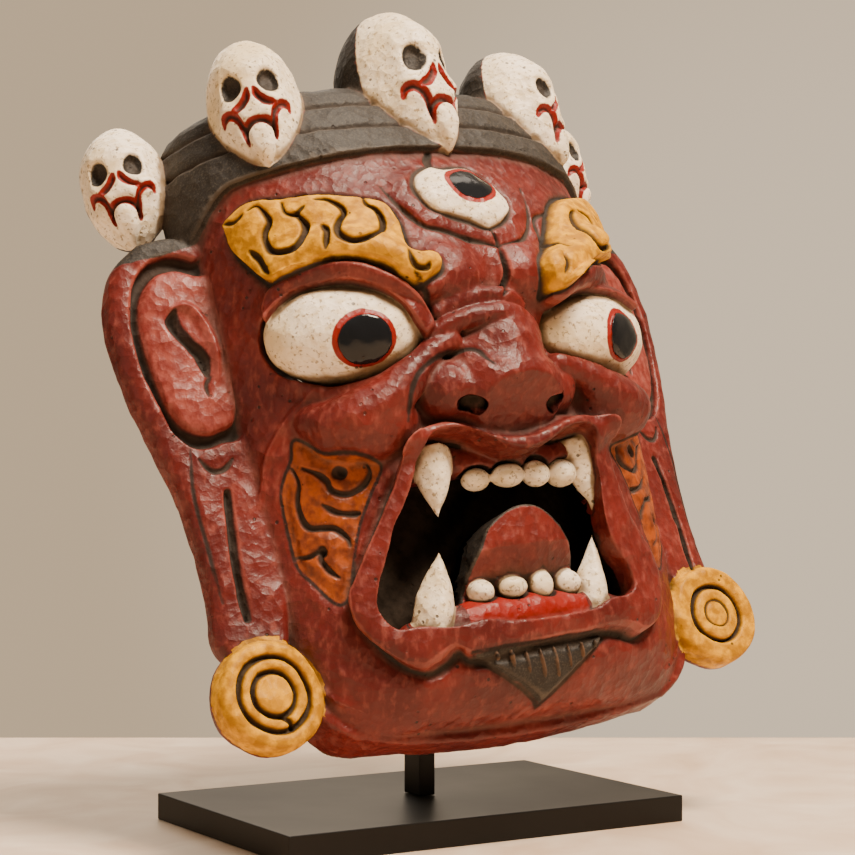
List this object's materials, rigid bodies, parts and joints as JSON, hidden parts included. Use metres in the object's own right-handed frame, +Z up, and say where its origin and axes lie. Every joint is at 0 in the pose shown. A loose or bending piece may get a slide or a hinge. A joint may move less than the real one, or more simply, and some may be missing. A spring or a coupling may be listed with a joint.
{
  "type": "tibetan cham mask on a stand",
  "caption": "Carved and painted wooden dance mask with a bared open mouth and a crown of skulls, on a black steel post and base plate.",
  "frame": {"origin": "centre of the base plate's underside", "axes": "+Z up along the post, -Y the way the mask looks, +X towards the mask's left ear"},
  "size_m": [0.3937, 0.2247, 0.4933],
  "materials": {
    "painted_wood": "satin hand-painted red, white, black, yellow and orange",
    "black_steel": "satin black powder coat"
  },
  "bodies": {
    "root": {"mask": "painted_wood", "stand_post": "black_steel", "stand_base": "black_steel"}
  },
  "joints": []
}
